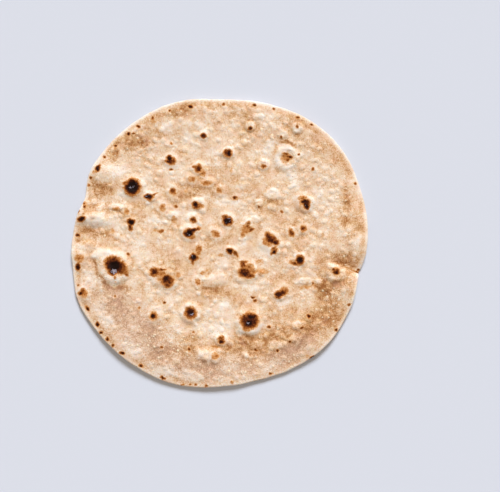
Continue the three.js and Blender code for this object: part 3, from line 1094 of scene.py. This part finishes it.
@dataclass(frozen=True)
class CrustFinish:
    """Baked wholemeal crust: pale dough, flour, tan, griddle marks, bran, small pimples and painted light
    and shade.
    """

    dough_stops: tuple = (
        (0.00, paint(164, 106, 60)),
        (0.20, paint(200, 147, 97)),
        (0.38, paint(224, 181, 139)),
        (0.52, paint(236, 201, 167)),
        (0.68, paint(243, 217, 190)),
        (0.84, paint(249, 231, 212)),
        (1.00, paint(252, 240, 228)),
    )
    rosy: tuple = paint(236, 188, 158)
    golden: tuple = paint(236, 204, 150)
    cream: tuple = paint(255, 236, 204)
    bran: tuple = paint(146, 100, 66)
    # Pale grey ash, which also serves as a painted glint of reflected light in the pits of char.
    ash_and_glint: tuple = paint(190, 180, 192)
    # Greyish colour of the broad painted shade over the lower part of the top.
    painted_shade: tuple = paint(208, 182, 166)
    bake_stops: tuple = (
        (0.00, paint(232, 188, 144)),
        (0.18, paint(222, 167, 110)),
        (0.36, paint(196, 127, 66)),
        (0.52, paint(150, 82, 28)),
        (0.66, paint(98, 42, 11)),
        (0.80, paint(60, 22, 7)),
        (1.00, paint(28, 10, 4)),
    )
    shallowest: float = -0.95
    deepest: float = 1.0
    shine: float = 0.09
    glow: float = 0.1
    glow_spread: tuple[float, float, float] = (1.0, 0.55, 0.3)
    glow_depth: float = 0.6 * MM
    bump_height: float = 0.25 * MM

    def tone(self, board: NodeBoard, place: Wire) -> Wire:
        """Paleness of the dough: its clouds, and what the mesh carries.

        Args:
            board: Where the nodes are made.
            place: Place on the object.

        Returns:
            From 0, brown, to 1, floury.
        """
        broad = 0.95 * (board.noise(place, 20, 2) - 0.5)
        middle = 0.75 * (board.noise(place, 5, 3, 0.6) - 0.5)
        fine = 0.65 * (board.noise(place, 1.5, 3, 0.7) - 0.5)
        grain = 0.95 * (board.noise(place, 0.6, 1) - 0.5)
        # The grain is also stronger under the broad painted shade.
        coarse_flour = 1.0 + 0.7 * board.field(Field.PAINTED_SHADE)
        flour_and_highlight, tan_and_shade, stand = (board.field(field) for field in (Field.FLOUR_AND_HIGHLIGHT, Field.TAN, Field.STAND))
        # What stands out is painted paler and what lies low darker: partly the drier crust of the bumps,
        # partly painted light on the bumps and painted shade in the hollows.
        carried = 0.29 * flour_and_highlight - 0.34 * tan_and_shade + 0.12 * stand
        return 0.57 + broad + middle + coarse_flour * (fine + grain) + carried

    def dough(self, board: NodeBoard, place: Wire) -> Wire:
        """Colour of the dough before the griddle's marks.

        Args:
            board: Where the nodes are made.
            place: Place on the object.

        Returns:
            The colour.
        """
        colour = board.ramp(self.dough_stops, self.tone(board, place))
        rosy = board.noise(place, 6, 3, 0.65).step(0.48, 0.68)
        golden = board.noise(place, 4.2, 3, 0.65).step(0.50, 0.30)
        colour = board.mix(0.35 * rosy, colour, self.rosy)
        colour = board.mix(0.28 * golden, colour, self.golden)
        # The broad painted shade, greyish, where the mesh carries it.
        return board.mix(0.38 * board.field(Field.PAINTED_SHADE), colour, self.painted_shade)

    def depth(self, board: NodeBoard, place: Wire) -> Wire:
        """Depth of the griddle's colour, with the crumbly edge that the mesh is too coarse for.

        Args:
            board: Where the nodes are made.
            place: Place on the object.

        Returns:
            The depth, from -3 for none to about 4 for deep char.
        """
        crumbs = 1.6 * (board.noise(place, 1.7, 3, 0.65) - 0.5)
        grains = 1.1 * (board.noise(place, 0.5, 1) - 0.5)
        return board.field(Field.BAKE) + crumbs + grains

    def pimples(self, board: NodeBoard, place: Wire) -> Wire:
        """Tiny round pimples of two sizes, thickest where the mesh says that steam speckled the crust.

        Args:
            board: Where the nodes are made.
            place: Place on the object.

        Returns:
            1 on a pimple and 0 beside it.
        """
        chance = 0.1 + 0.4 * board.field(Field.SPECKLE) + 1.2 * (board.noise(place, 9, 2) - 0.5)
        shown = []
        for size in (3.3, 2.1):
            far, own = board.cells(place, size)
            shown.append(far.step(0.30, 0.12) * (chance - own).step(0.0, 0.1))
        return board.math("MAXIMUM", *shown)

    def material(self) -> bpy.types.Material:
        """Builds the crust's material.

        Returns:
            The material.
        """
        made = bpy.data.materials.new("wholemeal_crust")
        board = NodeBoard(made)
        place = board.place()
        depth = self.depth(board, place)
        char = depth.step(0.1, 0.6)
        pimple = self.pimples(board, place)
        fleck_far, fleck_own = board.cells(place, 1.7)
        fleck = fleck_far.step(0.24, 0.10) * fleck_own.step(0.7, 0.76)

        colour = self.dough(board, place)
        colour = board.mix((0.55 + 0.25 * board.field(Field.TAN)) * pimple, colour, self.cream)
        colour = board.mix((0.45 + 0.3 * board.field(Field.SPECKLE)) * fleck, colour, self.bran)
        share = (depth - self.shallowest) * (1.0 / (self.deepest - self.shallowest))
        colour = board.mix(share.step(-0.14, 0.28), colour, board.ramp(self.bake_stops, share))
        # Ash in the pits of char, painted pale, which also paints a glint of reflected light there.
        ash_and_glint = (board.field(Field.ASH_AND_GLINT) + 3.0 * (board.noise(place, 0.9, 2) - 0.5)).step(0.6, 0.95) * char
        colour = board.mix(0.75 * ash_and_glint, colour, self.ash_and_glint)

        roughness = 0.8 - 0.2 * char - 0.3 * ash_and_glint + 0.2 * (board.noise(place, 2.0, 2) - 0.5)
        fine = board.noise(place, 0.9, 3, 0.65)
        coarse = board.noise(place, 2.6, 2, 0.6)
        height = 0.9 * fine + 0.4 * coarse + 0.7 * pimple + char * board.noise(place, 0.7, 2)
        relief = {"Height": height, "Distance": self.bump_height, "Strength": 1.0}
        bump = board.node("ShaderNodeBump", {}, relief)
        values = {
            "Base Color": colour,
            "Roughness": roughness,
            "Normal": Wire(board, bump.outputs["Normal"]),
            "Specular IOR Level": self.shine,
            "Subsurface Weight": self.glow,
            "Subsurface Radius": self.glow_spread,
            "Subsurface Scale": self.glow_depth,
        }
        shader = board.node("ShaderNodeBsdfPrincipled", {}, values)
        board.node("ShaderNodeOutputMaterial", {}, {"Surface": Wire(board, shader.outputs["BSDF"])})
        return made


@dataclass(frozen=True)
class TableFinish:
    """A plain pale table top."""

    colour: tuple = paint(220, 224, 234)

    def material(self) -> bpy.types.Material:
        """Builds the table's material.

        Returns:
            The material.
        """
        made = bpy.data.materials.new("pale_table")
        board = NodeBoard(made)
        values = {"Base Color": self.colour, "Roughness": 0.8, "Specular IOR Level": 0.0}
        shader = board.node("ShaderNodeBsdfPrincipled", {}, values)
        board.node("ShaderNodeOutputMaterial", {}, {"Surface": Wire(board, shader.outputs["BSDF"])})
        return made


def put_in(name: str, data: bpy.types.ID) -> bpy.types.Object:
    """Puts a new object into the scene.

    Args:
        name: The object's name.
        data: Its mesh, lamp or camera.

    Returns:
        The object.
    """
    made = bpy.data.objects.new(name, data)
    bpy.context.scene.collection.objects.link(made)
    return made


@dataclass
class Roti:
    """The whole bread, as one piece.

    Just inside its pale lip runs a tan seam, and each of its marks has a thin ring of flour around it.
    """

    piece_name: str = "roti_bread"
    slot: str = "baked_dough"
    finish: CrustFinish = CrustFinish()
    top_seed: int = 100
    under_seed: int = 430
    under_marks: int = 95
    under_reach: float = 85.0
    lip_width: float = 2.4
    lip_fade: float = 1.8
    untanned_width: float = 3.0
    seam_tan: float = 0.45
    seam_inset: float = 3.6
    seam_width: float = 1.2
    ring_flour: float = 0.14
    map_top: float = 0.325
    map_under: float = 0.25
    map_gap: float = 0.005

    def top_side(self) -> Side:
        """The face that shows, with its marks in their places."""
        marks = tuple(Mark(*row, bake=bake) for bake, rows in MARK_ROWS.items() for row in rows)
        return Side(BLISTERS, marks, {field: patches(field) for field in PATCH_ROWS}, self.top_seed)

    def under_side(self) -> Side:
        """The hidden face: pale, with small marks all over, of which the larger have a spot of char.

        Returns:
            The side, with marks and patches scattered from a fixed seed.
        """
        chance = np.random.default_rng(self.under_seed)
        marks: list[Mark] = []
        tans: list[Patch] = []
        for number in range(self.under_marks):
            turn, out = chance.uniform(0, 2 * math.pi), self.under_reach * math.sqrt(chance.uniform())
            x, y = out * math.cos(turn), out * math.sin(turn)
            wide = chance.uniform(1.6, 3.0) if number % 3 else chance.uniform(3.5, 8.0)
            long, lean = wide * chance.uniform(0.6, 1.0), chance.uniform(0, 180)
            bake = (Bake.BROWN, Bake.TOASTED, Bake.BROWN, Bake.TOASTED, Bake.FAINT)[number % 5]
            marks.append(Mark(x, y, wide, long, lean, bake))
            if wide > 4.5:
                marks.append(Mark(x + 0.1 * wide, y, 0.4 * wide, 0.35 * long, lean, Bake.CHARRED))
                tans.append(Patch(x, y, 3.0 * wide, 2.2 * long, lean, 0.8))
        scattered = {Field.TAN: tuple(tans), Field.SPECKLE: patches(Field.SPECKLE)}
        return Side((), tuple(marks), scattered, self.under_seed)

    def add_fields(self, mesh: bpy.types.Mesh, points: Array, under: Array, bread: BreadMesh) -> None:
        """Writes onto the mesh the fields that the crust's shader reads.

        Args:
            mesh: The mesh.
            points: Its points, in mm.
            under: Which points are on the underside.
            bread: Where the fields come from.
        """
        for field in Field:
            values = np.zeros(len(points))
            for side, mask in ((bread.top, ~under), (bread.under, under)):
                x, y = points[mask, 0], points[mask, 1]
                values[mask] = self.field(field, side, bread.sheet, x, y)
            layer = mesh.attributes.new(field.value, "FLOAT", "POINT")
            layer.data.foreach_set("value", values.astype(np.float32))

    def field(self, field: Field, side: Side, sheet: Sheet, x: Array, y: Array) -> Array:
        """One of the fields of a face of the bread.

        Args:
            field: The field.
            side: The face.
            sheet: The sheet, whose lip stays pale.
            x: Places along X.
            y: Places along Y.

        Returns:
            The field's value at each place.
        """
        if field is Field.BAKE:
            return side.bake(x, y)
        if field is Field.STAND:
            return side.standing(x, y)
        cover, to_edge = side.cover(field, x, y), sheet.to_edge(x, y)
        if field is Field.TAN:
            seam = self.seam_tan * np.exp(-(((to_edge - self.seam_inset) / self.seam_width) ** 2))
            return np.maximum(cover, seam) * ease(to_edge / self.untanned_width)
        if field is Field.FLOUR_AND_HIGHLIGHT:
            depth = side.bake(x, y)
            # The ring lies outside the browned part, where the depth of colour is from -2.6 to -0.8.
            ring = self.ring_flour * ease(depth + 2.6) * ease((-0.8 - depth) / 0.6)
            lip = ease((self.lip_width - to_edge) / self.lip_fade)
            return np.maximum(cover, np.maximum(ring, lip))
        return cover

    def add_map(self, mesh: bpy.types.Mesh, points: Array, under: Array) -> None:
        """Gives the mesh a flat map: the top and the underside as two discs.

        Args:
            mesh: The mesh.
            points: Its points, in mm.
            under: Which points are on the underside.
        """
        reach = np.hypot(points[:, 0], points[:, 1]).max()
        corner = np.zeros(len(mesh.loops), dtype=np.int32)
        mesh.loops.foreach_get("vertex_index", corner)
        face_of = np.repeat(np.arange(len(mesh.polygons)), [p.loop_total for p in mesh.polygons])
        below = np.zeros(len(mesh.polygons), dtype=bool)
        np.maximum.at(below, face_of, under[corner])
        below = below[face_of]
        share = points[corner, :2] / reach
        top = self.map_top * (1.0 + share) + self.map_gap
        low = 1.0 - self.map_under * (1.0 + share * np.array([-1.0, 1.0])) - self.map_gap
        layer = mesh.uv_layers.new(name="OFBake")
        layer.uv.foreach_set("vector", np.where(below[:, None], low, top).astype(np.float32).ravel())

    def build(self) -> bpy.types.Object:
        """Builds and dresses the bread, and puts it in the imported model's place.

        Returns:
            The bread's object.
        """
        bread = BreadMesh(Sheet(), self.top_side(), self.under_side())
        points, faces, under = bread.build()
        low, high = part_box(NODE)
        own_low, own_high = points.min(0), points.max(0)
        scale = np.array([high.x - low.x, high.y - low.y]) / (own_high - own_low)[:2]
        placed = points * MM
        placed[:, :2] = np.array([low.x, low.y]) + (points[:, :2] - own_low[:2]) * scale
        placed[:, 2] += low.z - own_low[2] * MM
        mesh = bpy.data.meshes.new(self.piece_name)
        mesh.from_pydata(placed.tolist(), [], faces)
        mesh.shade_smooth()
        self.add_fields(mesh, points, under, bread)
        self.add_map(mesh, points, under)
        mesh.materials.append(self.finish.material())
        piece = put_in(self.piece_name, mesh)
        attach(piece, BODY)
        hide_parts(NODE)
        return piece


@dataclass(frozen=True)
class SoftLight:
    """A large soft light, so far away that it falls evenly on the whole table.

    Its azimuth, elevation and width are in degrees as seen from the bread, and its strength in W/m2.
    """

    name: str
    azimuth: float
    elevation: float
    width: float
    strength: float
    colour: tuple[float, float, float] = (1.0, 1.0, 1.0)

    def build(self, target: Vector) -> None:
        """Makes the light.

        Args:
            target: What it faces.
        """
        a, e = math.radians(self.azimuth), math.radians(self.elevation)
        back = Vector((math.cos(a) * math.cos(e), math.sin(a) * math.cos(e), math.sin(e)))
        lamp = bpy.data.lights.new(self.name, "SUN")
        lamp.angle = math.radians(self.width)
        lamp.energy = self.strength
        lamp.color = self.colour
        holder = put_in(self.name, lamp)
        holder.location = target + back
        holder.rotation_euler = (-back).to_track_quat("-Z", "Y").to_euler()


@dataclass(frozen=True)
class Studio:
    """The pale table and the wall beyond it, the soft lights and the camera, which looks straight down."""

    lights: tuple[SoftLight, ...] = (
        SoftLight("key_light", 80, 35, 20, 3.79, (0.873, 0.925, 1.0)),
        SoftLight("top_light", 250, 78, 60, 0.2, (1.0, 0.93, 0.84)),
    )
    sky: tuple[float, float, float, float] = (1.0, 0.86, 0.71, 1.0)
    sky_strength: float = 0.34
    wall: tuple[float, float, float, float] = paint(229, 231, 238)
    table_size: float = 40.0
    lens: float = 70.0
    sensor: float = 36.0
    frame_share: float = 1.686
    side_share: float = 0.103
    down_share: float = 0.0091

    def build_table(self, height: float) -> bpy.types.Object:
        """Makes the table top at a height.

        Args:
            height: Height of the surface that the bread lies on.

        Returns:
            The table's object.
        """
        half = self.table_size / 2.0
        mesh = bpy.data.meshes.new("table")
        corners = [(x * half, y * half, height) for x, y in ((-1, -1), (1, -1), (1, 1), (-1, 1))]
        mesh.from_pydata(corners, [], [(0, 1, 2, 3)])
        mesh.materials.append(TableFinish().material())
        table = put_in("table", mesh)
        return table

    def build_camera(self, low: Vector, high: Vector) -> None:
        """Places the camera straight over the bread, which lies a little left of the middle.

        Args:
            low: Lowest corner of the bread's box.
            high: Highest corner of the bread's box.
        """
        width = high.x - low.x
        centre = (low + high) / 2.0
        data = bpy.data.cameras.new("camera")
        data.lens = self.lens
        data.sensor_width = self.sensor
        camera = put_in("camera", data)
        distance = self.frame_share * width * self.lens / self.sensor
        across, down = self.side_share * width, self.down_share * width
        camera.location = (centre.x + across, centre.y - down, centre.z + distance)
        bpy.context.scene.camera = camera

    def build_sky(self) -> None:
        """Fills the room with an even warm light, with a plain pale wall to be seen beyond the table."""
        world = bpy.data.worlds.new("room")
        board = NodeBoard(world)
        light = board.node("ShaderNodeBackground", {}, {"Color": self.sky, "Strength": self.sky_strength})
        wall = board.node("ShaderNodeBackground", {}, {"Color": self.wall, "Strength": 1.0})
        seen = Wire(board, board.node("ShaderNodeLightPath", {}, {}).outputs["Is Camera Ray"])
        # The inputs of the Mix Shader go by number: its factor, then the light and the wall.
        room = {0: seen, 1: Wire(board, light.outputs[0]), 2: Wire(board, wall.outputs[0])}
        both = board.node("ShaderNodeMixShader", {}, room)
        board.node("ShaderNodeOutputWorld", {}, {"Surface": Wire(board, both.outputs[0])})
        bpy.context.scene.world = world
        bpy.context.scene.view_settings.view_transform = "Standard"

    def build(self, low: Vector, high: Vector) -> None:
        """Builds the table, lights, sky and camera round the bread.

        Args:
            low: Lowest corner of the bread's box.
            high: Highest corner of the bread's box.
        """
        self.build_table(low.z)
        for light in self.lights:
            light.build((low + high) / 2.0)
        self.build_sky()
        self.build_camera(low, high)


def main() -> None:
    """Builds the bread and then the studio round it."""
    logging.basicConfig(level=logging.INFO, format="%(name)s: %(message)s")
    bread = Roti().build()
    LOG.info("%s: %d faces, rides on %s", bread.name, len(bread.data.polygons), BODY)
    low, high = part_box(NODE)
    Studio().build(low, high)
    LOG.info("table, lights and camera are in place")


if __name__ == "__main__":
    main()
